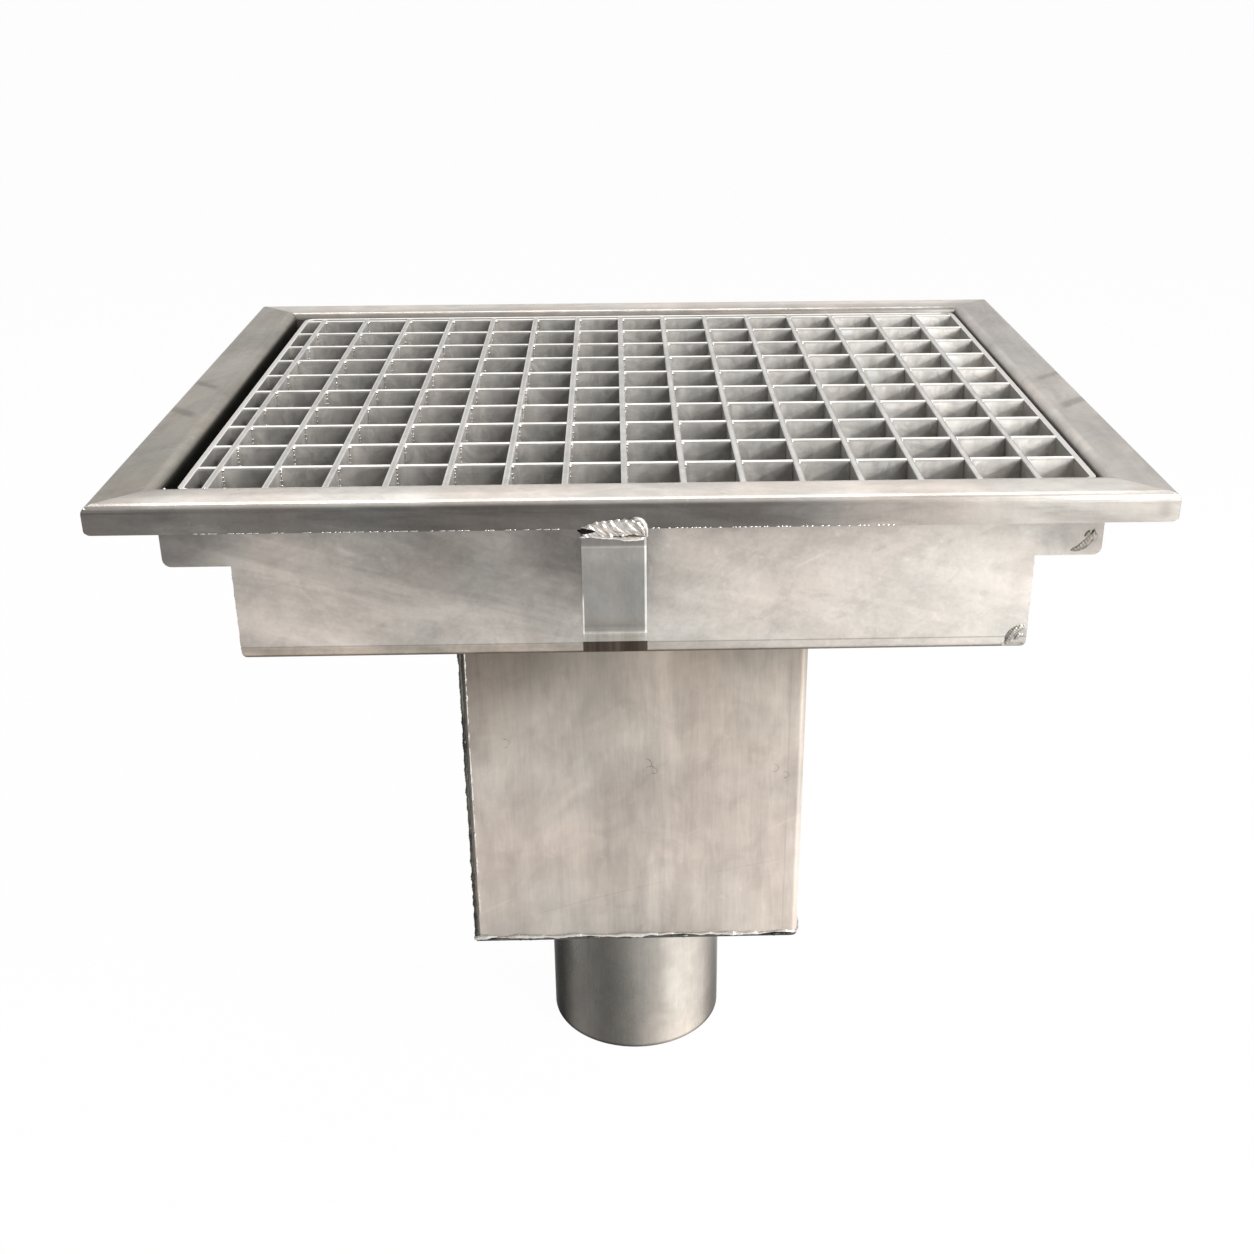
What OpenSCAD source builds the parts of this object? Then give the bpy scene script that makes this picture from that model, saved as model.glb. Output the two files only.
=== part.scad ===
// Floor drain for a commercial kitchen: a welded stainless-steel body with a folded rim, an
// egg-crate grate in its rebate, a shallow tray, a square sump with a strainer basket and a
// bell trap, and a round outlet. Millimetres, +Z up, the origin at the centre of the
// outlet's lower end, and the side with the shown anchor facing -Y.

/* [Rim] */
// Width of the rim, left to right
frame_w = 500; // [440:10:600]
// Depth of the rim, front to back
frame_d = 400; // [360:10:480]
// Width of the rim's top face at the left and right
rail_side = 28; // [24:1:32]
// Width of the rim's top face at the front and back
rail_front = 26; // [22:1:30]
// Height of the turned-down skirt
skirt_h = 14; // [10:1:18]
// Thickness of the body's sheet steel
sheet = 2; // [1.5:0.5:3]
// Inside radius of each fold in the body's sheet
bend_r = 2; // [1:0.5:3]
// Radius of the skirt's lower corners
corner_r = 3; // [1:0.5:6]

/* [Tray] */
// Height of the tray, from its underside to the rim's top
tray_h = 89; // [80:1:110]
// Width of each ledge that carries the grate, outside
ledge_w = 32; // [26:1:40]

/* [Sump] */
// Outside width of the square sump
sump_w = 192; // [184:2:220]
// Height of the sump under the tray
sump_h = 227; // [210:1:270]

/* [Outlet] */
// Outside diameter of the outlet pipe
pipe_d = 110; // [100:1:114]
// Wall of the outlet pipe
pipe_wall = 2; // [1.5:0.5:3]
// Length of the pipe below the sump
pipe_below = 116; // [80:1:160]
// Height of the standpipe on the sump's floor
standpipe_h = 55; // [45:1:60]

/* [Grate] */
// Height of the grate's flat bars
bar_h = 35; // [25:1:40]
// Thickness of the grate's flat bars
bar_t = 3; // [2:0.5:4]
// Depth of the grate's top below the rim's top
grate_drop = 2.5; // [0:0.5:4]
// Gap between the grate and the rebate's left wall
gap_left = 7.7; // [2:0.1:12]
// Gap between the grate and the rebate's right wall
gap_right = 2.3; // [2:0.1:12]
// Gap between the grate and the front wall
gap_front = 1; // [0.5:0.1:8]
// Gap between the grate and the back wall
gap_back = 4.5; // [1:0.1:8]
// Outside radius of the bent corners of the grate's band
band_r = 6; // [4:0.5:7]
// Pitch of the front-to-back bars
cross_pitch = 28.1; // [25:0.1:35]
// Distance from the left band to the first front-to-back bar, between centres
cross_first = 11.5; // [9:0.5:30]
// Pitch of the left-to-right bars
bearing_pitch = 33.45; // [28:0.05:40]
// Distance from the front band to the first left-to-right bar, between centres
bearing_first = 32; // [9:0.5:34]
// Play in each slot where two bars cross
slot_play = 0.2; // [0.1:0.05:0.4]

/* [Anchors] */
// Width of the flat bar of an anchor
anchor_w = 30; // [20:1:50]
// Thickness of the flat bar of an anchor
anchor_t = 5; // [3:0.5:6]
// Drop of an anchor, from the rim's top to the underside of its foot
anchor_drop = 72; // [50:1:80]
// Reach of the foot in front of the bar
foot_reach = 10; // [9:1:20]
// Inside radius of the foot's bend
foot_r = 4; // [2:0.5:6]
// Sideways place of the anchors
anchor_x = -10; // [-60:1:60]
// Gap between the top of an anchor and the fold of the rim above it
anchor_gap = 2; // [0.5:0.5:4]

/* [Basket] */
// Gap between the basket and the handle of the bell under it
basket_gap = 7.4; // [3:0.2:20]
// Thickness of the basket's sheet
basket_t = 1.5; // [1:0.25:2]
// Outside radius of the basket's upright corners
basket_r = 8; // [4:0.5:12]
// Width of the flange round the basket
flange_w = 11; // [8:0.5:13]
// Gap between the basket's flange and the sump's walls
flange_gap = 3; // [1:0.5:6]
// Diameter of the strainer holes
hole_d = 8; // [5:0.5:10]
// Pitch of the strainer holes
hole_pitch = 18; // [14:0.5:26]
// Gap between the rails under the flange and the basket's wall
rail_gap = 2; // [1:0.5:4]
// Length of the rails under the flange
rail_len = 140; // [100:1:170]
// Diameter of the bail's wire
bail_d = 5; // [4:0.5:6]
// Distance that the bail reaches over the flange, to the middle of its wire
bail_seat = 5.5; // [4:0.5:7]
// Gap between the raised bail and the grate
bail_gap = 3.2; // [2:0.2:10]
// Radius of the bail's bends, at the middle of the wire
bail_r = 12; // [8:1:20]
// Radial clearance of the bail in its ears
pivot_play = 0.05; // [0.02:0.01:0.1]
// Width of each ear
ear_w = 16; // [12:0.5:24]
// Length of the ear below the basket's rim
ear_below = 16; // [10:1:24]
// Length of the bail's ends past the ears
tail = 5; // [3:0.5:8]

/* [Bell trap] */
// Width of the water way between the standpipe and the bell
bell_gap = 15.5; // [13:0.5:18]
// Thickness of the bell
bell_t = 1.5; // [1:0.25:2]
// Outside radius of the bell's shoulder
bell_r = 12; // [6:1:16]
// Height of the bell's lower edge above the sump's floor
bell_lift = 12; // [8:1:20]
// Clear height between the standpipe and the bell
bell_head = 20; // [14:1:24]
// Diameter of the bell handle's wire
handle_d = 6; // [4:0.5:8]
// Width of the bell's handle, between the middles of its legs
handle_w = 60; // [40:1:80]
// Height of the bell's handle, to the middle of its wire
handle_h = 18; // [14:1:20]
// Width of each of the bell's feet
foot_w = 12; // [8:1:16]
// Height of each of the bell's feet
foot_h = 36; // [26:1:44]
// Gap between the toe of each foot and the standpipe
toe_gap = 4; // [2:0.5:6]

/* [Fits] */
// Hairline gap where two pieces are welded edge to face
weld_gap = 0.1; // [0.05:0.05:0.3]
// Gap under a piece that only rests on another
rest_gap = 0.1; // [0.05:0.05:0.3]
// Gap under the folded bail, and beside its arms
bail_play = 0.3; // [0.2:0.1:0.5]

/* [Hidden] */
$fn = 96;
bend_n = 6;
over = 1;
bell_feet = 3;

outer_r = bend_r + sheet;
z_sump = pipe_below;
z_sump_floor = z_sump + sheet;
z_tray = z_sump + sump_h;
z_floor = z_tray + sheet;
z_top = z_tray + tray_h;
z_skirt = z_top - skirt_h;
z_grate = z_top - grate_drop - bar_h;
z_ledge = z_grate - rest_gap;
z_ledge_under = z_ledge - sheet;

open_w = frame_w - 2 * rail_side;
open_d = frame_d - 2 * rail_front;
wall_x = open_w / 2 + sheet;
tray_x = wall_x - ledge_w;
sump_in = sump_w - 2 * sheet;

grate_w = open_w - gap_left - gap_right;
grate_d = open_d - gap_front - gap_back;
grate_left = -open_w / 2 + gap_left;
grate_front = -open_d / 2 + gap_front;
last_end = 2 * bar_t;
cross_n = 1 + floor((grate_w - bar_t - cross_first - last_end) / cross_pitch);
bearing_n = 1 + floor((grate_d - bar_t - bearing_first - last_end) / bearing_pitch);
slot_w = bar_t + slot_play;

z_stand = z_sump_floor + standpipe_h;
z_bell = z_sump_floor + bell_lift;
z_bell_top = z_stand + bell_head + bell_t;
z_handle = z_bell_top + weld_gap;
z_foot = z_sump_floor + rest_gap;
bell_out = pipe_d / 2 + bell_gap + bell_t;

basket_w = sump_in - 2 * (flange_w + flange_gap);
basket_in = basket_w - 2 * basket_t;
rail_leg = flange_w + flange_gap - rail_gap;
bail_reach = basket_in / 2 + bail_seat;
z_pivot = z_grate - bail_gap - bail_d / 2 - bail_reach;
z_rim = z_pivot - bail_d / 2 - bail_play;
z_rail = z_rim - basket_t - rest_gap;
z_basket = z_handle + handle_h + handle_d / 2 + basket_gap;
ear_x = basket_in / 2 - weld_gap;
elbow_r = bail_d;
pin_x = ear_x - basket_t - bail_play;
arm_x = pin_x - elbow_r;
first_row = 1.5 * hole_d;

function two(n) = n < 10 ? str("0", n) : str(n);
CROSS_BARS = [for (i = [1:cross_n]) str("grate_cross_bar_", two(i))];
BEARING_BARS = [for (i = [1:bearing_n]) str("grate_bearing_bar_", two(i))];
BELL_FEET = [for (i = [1:bell_feet]) str("bell_foot_", i)];

// Points of an arc round c from angle a to angle b
function arc(c, r, a, b, n = bend_n) =
    [for (i = [0:n]) c + r * [cos(a + (b - a) * i / n), sin(a + (b - a) * i / n)]];

// Rectangle with its middle at the origin and rounded corners
function round_rect(w, d, r) = concat(
    arc([w / 2 - r, d / 2 - r], r, 0, 90), arc([r - w / 2, d / 2 - r], r, 90, 180),
    arc([r - w / 2, r - d / 2], r, 180, 270), arc([w / 2 - r, r - d / 2], r, 270, 360));

function unit(v) = v / norm(v);
function left_of(v) = [-v.y, v.x];
function turned(v, a) = [v.x * cos(a) - v.y * sin(a), v.x * sin(a) + v.y * cos(a)];
function turn_at(a, b, c) =
    let (u = unit(b - a), w = unit(c - b)) atan2(u.x * w.y - u.y * w.x, u * w);

// Points of the fold at b, on the face that lies off to the left of the route
function fold(a, b, c, t, r, off) =
    let (u = unit(b - a), angle = turn_at(a, b, c), s = sign(angle),
        route_r = angle > 0 ? r + t : r,
        middle = b - u * route_r * tan(abs(angle) / 2) + s * left_of(u) * route_r)
    [for (i = [0:bend_n])
        middle - s * (route_r - s * off) * turned(left_of(u), angle * i / bend_n)];

function face_of(p, t, r, off) = let (last = len(p) - 1) concat(
    [p[0] + off * left_of(unit(p[1] - p[0]))],
    [for (i = [1:last - 1]) each fold(p[i - 1], p[i], p[i + 1], t, r, off)],
    [p[last] + off * left_of(unit(p[last] - p[last - 1]))]);
function reversed(p) = [for (i = [len(p) - 1:-1:0]) p[i]];

// Section of a folded strip of thickness t, which lies to the left of its route
module folded(route, t = sheet, r = bend_r)
    polygon(concat(face_of(route, t, r, 0), reversed(face_of(route, t, r, t))));

// A section drawn as (y, z), extruded along x
module across(length) rotate([90, 0, 90]) linear_extrude(length, center = true) children();

// A section drawn as (x, z), extruded along y
module along(length) rotate([90, 0, 0]) linear_extrude(length, center = true) children();

// Both halves of an outline that is the same left and right
function mirrored(p) = concat(p, reversed([for (q = p) [-q.x, q.y]]));

// Section of the rim from its skirt over the top and down the rebate's wall
function rim_route(half, rail) = [[half, z_skirt], [half, z_top], [half - rail, z_top]];

// Rounded lower corner of the skirt, in a view from the front or from the side
function skirt_corner(half) = concat([[half - corner_r, z_skirt - over]],
    arc([half - corner_r, z_skirt + corner_r], corner_r, -90, 0));

// One sheet forms the front rim and wall, the tray's floor, and the back wall and rim
module tray_pan() color("Gainsboro")
    difference() {
        intersection() {
            across(frame_w) folded(concat(
                rim_route(frame_d / 2, rail_front), [[open_d / 2, z_floor], [-open_d / 2, z_floor]],
                reversed([for (q = rim_route(frame_d / 2, rail_front)) [-q.x, q.y]])));
            translate([0, 0, z_tray - over])
                linear_extrude(tray_h + 2 * over) polygon(mitred_plan());
            along(frame_d + 2 * over) polygon(tee_outline());
        }
        translate([0, 0, z_tray - over])
            linear_extrude(sheet + 2 * over) polygon(round_rect(sump_in, sump_in, bend_r));
    }

// Plan that the pan's sheet keeps: its rims end on the mitre lines
function mitred_plan() = let (in_x = open_w / 2 - weld_gap, out_x = frame_w / 2 - weld_gap)
    mirrored([[out_x, -frame_d / 2], [in_x, -open_d / 2], [in_x, open_d / 2],
        [out_x, frame_d / 2]]);

// Front view of the pan: wide down to the ledges, and narrow below them
function tee_outline() = mirrored(concat(
    arc([tray_x - outer_r, z_tray + outer_r], outer_r, -90, 0),
    [[tray_x, z_ledge_under]], arc([wall_x - outer_r, z_ledge_under + outer_r], outer_r, -90, 0),
    [[wall_x, z_skirt - over]], skirt_corner(frame_w / 2), [[frame_w / 2, z_top + over]]));

// One sheet forms a side's rim, the rebate's wall, the ledge and the tray's side
module tray_side() color("Silver")
    intersection() {
        along(frame_d) folded(concat(rim_route(frame_w / 2, rail_side),
            [[open_w / 2, z_ledge], [tray_x - sheet, z_ledge],
                [tray_x - sheet, z_floor + weld_gap]]));
        translate([0, 0, z_tray]) linear_extrude(tray_h + over) polygon(side_plan());
        across(2 * frame_w) polygon(side_outline());
    }

// Plan that a side's sheet keeps: mitred rims, and a body that fits between the walls
function side_plan() = let (in_y = open_d / 2 - weld_gap, out_y = frame_d / 2 - weld_gap)
    [[0, -in_y], [open_w / 2, -in_y], [frame_w / 2, -out_y], [frame_w / 2, out_y],
        [open_w / 2, in_y], [0, in_y]];

// Side view of a side's sheet: its lower corners clear the folds of the pan
function side_outline() = let (y = open_d / 2 - weld_gap, mitre_y = open_d / 2 + outer_r)
    mirrored(concat([[y - bend_r, z_floor], [y, z_floor + bend_r], [y, z_ledge_under - over],
        [mitre_y, z_ledge_under - over], [mitre_y, z_skirt - over]],
        skirt_corner(frame_d / 2), [[frame_d / 2, z_top + over]]));

// One sheet is wrapped to a square and welded up at the front left edge
module sump_sleeve() color("Tan")
    translate([0, 0, z_sump_floor + weld_gap])
        linear_extrude(sump_h - sheet - 2 * weld_gap)
            folded([[-sump_w / 2, -sump_w / 2], [sump_w / 2, -sump_w / 2],
                [sump_w / 2, sump_w / 2], [-sump_w / 2, sump_w / 2],
                [-sump_w / 2, -sump_in / 2 + weld_gap]]);

// Plate under the sleeve, with the hole between the standpipe and the outlet
module sump_floor() color("Wheat")
    translate([0, 0, z_sump])
        linear_extrude(sheet)
            difference() {
                polygon(concat([[-sump_w / 2, -sump_w / 2]],
                    arc([sump_w / 2 - outer_r, outer_r - sump_w / 2], outer_r, -90, 0),
                    arc([sump_w / 2 - outer_r, sump_w / 2 - outer_r], outer_r, 0, 90),
                    arc([outer_r - sump_w / 2, sump_w / 2 - outer_r], outer_r, 90, 180)));
                circle(d = pipe_d - 2 * pipe_wall);
            }

// Round tube with a square-cut lower end
module tube(length)
    difference() {
        cylinder(d = pipe_d, h = length);
        translate([0, 0, -over]) cylinder(d = pipe_d - 2 * pipe_wall, h = length + 2 * over);
    }

// Outlet welded under the sump's floor
module outlet_pipe() color("RosyBrown") tube(z_sump - weld_gap);

// Tube on the sump's floor, whose upper edge sets the water's level
module standpipe() color("Thistle")
    translate([0, 0, z_sump_floor + weld_gap]) tube(standpipe_h - weld_gap);

// Flat bar that laps up behind the skirt and ends in a foot turned outwards
module anchor() color("LightSlateGray")
    translate([anchor_x, 0, 0])
        across(anchor_w) let (y = -frame_d / 2 + sheet + weld_gap, z = z_top - anchor_drop)
            folded([[y - foot_reach, z], [y + anchor_t, z],
                [y + anchor_t, z_top - outer_r - anchor_gap]], anchor_t, foot_r);

// Flat bar bent to a rectangle, on edge
module grate_band() color("WhiteSmoke")
    translate([grate_left + grate_w / 2, grate_front + grate_d / 2, z_grate])
        linear_extrude(bar_h)
            difference() {
                polygon(round_rect(grate_w, grate_d, band_r));
                polygon(round_rect(grate_w - 2 * bar_t, grate_d - 2 * bar_t, band_r - bar_t));
            }

// Flat bar on edge with a slot half-way through its height at each crossing
module slotted_bar(length, slots, z_slot)
    difference() {
        square([length, bar_h]);
        for (s = slots)
            translate([s - slot_w / 2, z_slot]) square([slot_w, bar_h / 2 + slot_play / 2 + over]);
    }

// Places of the crossings along a bar, from its end
cross_at = [for (i = [0:cross_n - 1]) cross_first + i * cross_pitch - bar_t / 2];
bearing_at = [for (i = [0:bearing_n - 1]) bearing_first + i * bearing_pitch - bar_t / 2];

// Front-to-back bar: its slots are open downwards
module grate_cross_bar(i) color("White")
    translate([grate_left + bar_t + cross_at[i] + bar_t / 2, grate_front + bar_t, z_grate])
        rotate([90, 0, 90]) translate([0, 0, -bar_t])
            linear_extrude(bar_t) slotted_bar(grate_d - 2 * bar_t, bearing_at, -over);

// Left-to-right bar, which spans the ledges: its slots are open upwards
module grate_bearing_bar(i) color("Snow")
    translate([grate_left + bar_t, grate_front + bar_t + bearing_at[i] + bar_t / 2, z_grate])
        rotate([90, 0, 0])
            linear_extrude(bar_t)
                slotted_bar(grate_w - 2 * bar_t, cross_at, bar_h / 2 - slot_play / 2);

// Places of the strainer holes across a face of width w
function hole_places(w) = let (n = floor((w - hole_d) / hole_pitch))
    [for (i = [0:n]) (i - n / 2) * hole_pitch];

// Sheet wrapped to a square, with rows of holes through all four sides
module basket_wall() color("SlateGray")
    difference() {
        translate([0, 0, z_basket]) linear_extrude(z_rim - basket_t - weld_gap - z_basket)
            difference() {
                polygon(round_rect(basket_w, basket_w, basket_r));
                polygon(round_rect(basket_in, basket_in, basket_r - basket_t));
            }
        for (a = [0, 90], s = hole_places(basket_w - 2 * basket_r), z = wall_rows)
            rotate([0, 0, a]) translate([s, 0, z]) rotate([90, 0, 0])
                cylinder(d = hole_d, h = 2 * basket_w, center = true);
    }
wall_rows = [for (z = [z_basket + first_row:hole_pitch:z_rim - ear_below - hole_d]) z];

// Strainer plate inside the foot of the basket
module basket_floor() color("LightSteelBlue")
    translate([0, 0, z_basket]) linear_extrude(basket_t)
        difference() {
            polygon(round_rect(basket_in - 2 * weld_gap, basket_in - 2 * weld_gap,
                basket_r - basket_t));
            for (x = hole_places(basket_in - basket_r), y = hole_places(basket_in - basket_r))
                translate([x, y]) circle(d = hole_d);
        }

// Flat frame on top of the basket's wall, which rests on the two rails
module basket_flange() color("LightGray")
    translate([0, 0, z_rim - basket_t]) linear_extrude(basket_t)
        difference() {
            polygon(round_rect(basket_w + 2 * flange_w, basket_w + 2 * flange_w, basket_r));
            polygon(round_rect(basket_in, basket_in, basket_r - basket_t));
        }

// Ear inside the basket's wall, with the hole in which the bail turns
module basket_ear(side) color("DarkGray")
    translate([side * (ear_x - basket_t / 2), 0, z_pivot])
        across(basket_t)
            difference() {
                polygon(concat([[-ear_w / 2, z_rim - ear_below - z_pivot],
                    [ear_w / 2, z_rim - ear_below - z_pivot]], arc([0, 0], ear_w / 2, 0, 180, 12)));
                circle(d = bail_d + 2 * pivot_play);
            }

// Wire bent to a U, with its ends turned out through the ears
module basket_bail() color("DimGray")
    translate([0, 0, z_pivot]) {
        for (side = [-1, 1]) {
            translate([side * (arm_x - bail_r), bail_r - bail_reach, 0])
                elbow(bail_r, bail_d, side > 0 ? 270 : 180);
            translate([side * arm_x, bail_r - bail_reach, 0])
                wire(bail_reach - bail_r - elbow_r, bail_d, [-90, 0, 0]);
            translate([side * pin_x, -elbow_r, 0]) elbow(elbow_r, bail_d, side > 0 ? 90 : 0);
            translate([side * pin_x, 0, 0]) wire(ear_x + tail - pin_x, bail_d, [0, side * 90, 0]);
        }
        translate([bail_r - arm_x, -bail_reach, 0])
            wire(2 * (arm_x - bail_r), bail_d, [0, 90, 0]);
    }

// Straight piece of wire from the origin
module wire(length, d, way) rotate(way) cylinder(d = d, h = length);

// Quarter bend of wire in the level plane, from the angle given
module elbow(r, d, from) rotate([0, 0, from]) rotate_extrude(angle = 90) translate([r, 0])
    circle(d = d);

// Angle on the sump's wall that carries the basket's flange
module basket_rail() color("BurlyWood")
    along(rail_len) let (x = sump_in / 2 - weld_gap)
        folded([[x, z_rail - rail_leg], [x, z_rail], [x - rail_leg, z_rail]]);

// Inverted cup over the standpipe: its edge dips into the water that stands in the sump
module bell_cap() color("Lavender")
    rotate_extrude()
        polygon(concat(
            [[bell_out - bell_t, z_bell], [bell_out, z_bell]],
            arc([bell_out - bell_r, z_bell_top - bell_r], bell_r, 0, 90),
            [[0, z_bell_top], [0, z_bell_top - bell_t]],
            arc([bell_out - bell_r, z_bell_top - bell_r], bell_r - bell_t, 90, 0)));

// Wire loop welded on top of the bell, to lift it by
module bell_handle() color("Gray")
    translate([0, 0, z_handle]) {
        for (side = [-1, 1]) {
            translate([side * handle_w / 2, 0, 0]) wire(handle_h - handle_d, handle_d, [0, 0, 0]);
            translate([side * (handle_w / 2 - handle_d), 0, handle_h - handle_d])
                rotate([90, 0, 0]) elbow(handle_d, handle_d, side > 0 ? 0 : 90);
        }
        translate([handle_d - handle_w / 2, 0, handle_h])
            wire(handle_w - 2 * handle_d, handle_d, [0, 90, 0]);
    }

// Bent strip inside the bell's wall, with its toe on the sump's floor
module bell_foot(i) color("SteelBlue")
    rotate([0, 0, i * 360 / bell_feet + 90])
        let (inner = bell_out - bell_t - weld_gap, x = sqrt(inner * inner - foot_w * foot_w / 4))
            along(foot_w) folded([[pipe_d / 2 + toe_gap, z_foot], [x, z_foot],
                [x, z_foot + foot_h]], bell_t, bell_t);

tray_pan();
mirror([1, 0, 0]) tray_side();  // tray_side_left
tray_side();  // tray_side_right
sump_sleeve();
sump_floor();
outlet_pipe();
standpipe();
anchor();  // anchor_front
rotate([0, 0, 180]) anchor();  // anchor_back
grate_band();
for (i = [0:cross_n - 1])
    grate_cross_bar(i);
for (i = [0:bearing_n - 1])
    grate_bearing_bar(i);
basket_wall();
basket_floor();
basket_flange();
basket_ear(-1);  // basket_ear_left
basket_ear(1);  // basket_ear_right
basket_bail();
mirror([1, 0, 0]) basket_rail();  // basket_rail_left
basket_rail();  // basket_rail_right
bell_cap();
bell_handle();
for (i = [0:bell_feet - 1])
    bell_foot(i);
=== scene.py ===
"""Floor drain: the camera and light of the photo, the steels, and the welds that the CAD leaves out."""
import math
import random
from functools import partial

import bpy
from mathutils import Matrix, Vector


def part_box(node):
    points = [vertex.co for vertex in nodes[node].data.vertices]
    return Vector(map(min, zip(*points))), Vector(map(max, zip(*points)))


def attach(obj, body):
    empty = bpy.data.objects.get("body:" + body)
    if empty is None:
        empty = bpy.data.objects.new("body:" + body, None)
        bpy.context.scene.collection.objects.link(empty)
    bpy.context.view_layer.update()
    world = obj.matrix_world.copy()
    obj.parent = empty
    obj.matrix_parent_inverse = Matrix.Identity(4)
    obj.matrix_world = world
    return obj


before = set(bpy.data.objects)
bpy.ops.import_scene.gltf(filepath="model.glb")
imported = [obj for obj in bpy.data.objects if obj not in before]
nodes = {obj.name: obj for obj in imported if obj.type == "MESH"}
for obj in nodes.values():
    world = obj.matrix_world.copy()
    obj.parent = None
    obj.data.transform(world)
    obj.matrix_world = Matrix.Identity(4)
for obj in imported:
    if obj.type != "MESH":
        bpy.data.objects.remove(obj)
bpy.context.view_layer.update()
MM = 0.001
X, Y, Z = (1, 0, 0), (0, 1, 0), (0, 0, 1)

# Camera, fitted to the photo: sizes in the photo's pixels, turns in degrees, the eye in metres
IMAGE = 1254
FOCAL_PX, CENTRE_X, CENTRE_Y = 1539.076, 653.926, 620.801
PITCH, YAW, ROLL = -24.402, -1.42, 0.253
EYE = (-0.00806, -0.857316, 0.67002)


def add_camera():
    """The photo's camera."""
    cam = bpy.data.cameras.new("camera")
    cam.sensor_width = 36
    cam.lens = FOCAL_PX / IMAGE * cam.sensor_width
    cam.shift_x = (IMAGE / 2 - CENTRE_X) / IMAGE
    cam.shift_y = (CENTRE_Y - IMAGE / 2) / IMAGE
    cam.clip_start, cam.clip_end = 0.01, 100
    obj = bpy.data.objects.new("camera", cam)
    bpy.context.scene.collection.objects.link(obj)
    turn = (Matrix.Rotation(math.radians(YAW), 3, "Z") @ Matrix.Rotation(math.radians(PITCH), 3, "X")
            @ Matrix.Rotation(math.radians(ROLL), 3, "Y"))
    right, forward, up = turn.col
    world = Matrix((right, up, -forward)).transposed().to_4x4()
    world.translation = EYE
    obj.matrix_world = world
    bpy.context.scene.camera = obj


add_camera()
bpy.context.scene.view_settings.view_transform = "Standard"


# Places in mm, from the frame. The front is at -y
def corners_of(box_node):
    """The lowest and the highest corner of a CAD node's box."""
    lo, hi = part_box(box_node)
    return lo / MM, hi / MM


def middles_of(start):
    """The middle of each CAD node whose name begins with start."""
    return [sum(corners_of(name), Vector()) / 2 for name in sorted(nodes) if name.startswith(start)]


SHEET = 2.0  # thickness of the tray's sheet
SKIRT_DROP = 14.0  # height of the skirt
RAIL_TO_WALL = 24.0  # from the skirt's face to the wall's, towards the middle
LEDGE_UNDER = 392.4  # height at which the ledges' seams run
BRAKE_Z = 349.6  # height of the line that the folding left on the wall

pan_lo, pan_hi = corners_of("tray_pan")
rim_top = pan_hi.z
skirt_y, skirt_z = pan_lo.y, rim_top - SKIRT_DROP
skirt_depth = abs(skirt_y)
wall_depth = skirt_depth - RAIL_TO_WALL
tray_half = corners_of("tray_side_right")[0].x + SHEET
sump_lo, sump_hi = corners_of("sump_sleeve")
sump_half = sump_hi.x
pipe_hi = corners_of("outlet_pipe")[1]
strap_lo = corners_of("anchor_front")[0]
grate_lo, grate_hi = corners_of("grate_band")
bars_x = [middle.x for middle in middles_of("grate_cross")]
bars_y = [middle.y for middle in middles_of("grate_bearing")]
bar_pitch = bars_x[1] - bars_x[0]
bar_lo, bar_hi = corners_of("grate_cross_bar_01")
bar_half = (bar_hi.x - bar_lo.x) / 2


# Shader nodes, written as sums
class Value:
    """A number, colour or shader that nodes work out at each point. The usual signs add nodes."""

    def __init__(self, tree, socket):
        self.tree, self.socket = tree, socket

    def output(self, key):
        """Another output of the same node."""
        return Value(self.tree, self.socket.node.outputs[key])

    def __add__(self, other):
        return maths("ADD", self, other)

    def __radd__(self, other):
        return maths("ADD", other, self)

    def __sub__(self, other):
        return maths("SUBTRACT", self, other)

    def __rsub__(self, other):
        return maths("SUBTRACT", other, self)

    def __mul__(self, other):
        return maths("MULTIPLY", self, other)

    def __truediv__(self, other):
        return maths("DIVIDE", self, other)

    def __abs__(self):
        return maths("ABSOLUTE", self)


def tree_of(owner):
    """The emptied node tree of a material or a world."""
    owner.use_nodes = True
    owner.node_tree.nodes.clear()
    return owner.node_tree


def add_node(tree, kind, inputs, **settings):
    """A new node, with its settings made and its inputs linked or set."""
    made = tree.nodes.new(kind)
    for name, value in settings.items():
        setattr(made, name, value)
    for key, value in inputs.items():
        if isinstance(value, Value):
            tree.links.new(value.socket, made.inputs[key])
        else:
            made.inputs[key].default_value = value
    return made


def node(tree, kind, inputs, **settings):
    """The first output of a new node."""
    return Value(tree, add_node(tree, kind, inputs, **settings).outputs[0])


def maths(operation, a, b=0.0):
    """An operation on one or two numbers, at least one of them a Value."""
    tree = a.tree if isinstance(a, Value) else b.tree
    return node(tree, "ShaderNodeMath", {0: a, 1: b}, operation=operation)


def ramp(value, lo, hi, a=0.0, b=1.0):
    """Goes smoothly from a to b while the value goes from lo to hi."""
    return node(value.tree, "ShaderNodeMapRange", {"Value": value, "From Min": lo, "From Max": hi,
                "To Min": a, "To Max": b}, interpolation_type="SMOOTHSTEP")


def between(value, lo, hi, soft):
    """1 where the value lies between lo and hi, with soft ends."""
    return ramp(value, lo - soft, lo + soft) * ramp(value, hi + soft, hi - soft)


def masks(first, *others):
    """The product of several masks."""
    whole = first
    for other in others:
        whole = whole * other
    return whole


def reach(across, up):
    """The length of a way, from its two parts."""
    return maths("SQRT", across * across + up * up)


def cloud_at(x, z, centre_x, centre_z, half_x, half_z):
    """A soft round cloud in a front view, as a mask."""
    return ramp(reach((x - centre_x) / half_x, (z - centre_z) / half_z), 1.0, 0.2)


def times(colour, factor):
    """A colour or a place times a number."""
    return node(colour.tree, "ShaderNodeVectorMath", {0: colour, "Scale": factor}, operation="SCALE")


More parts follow.
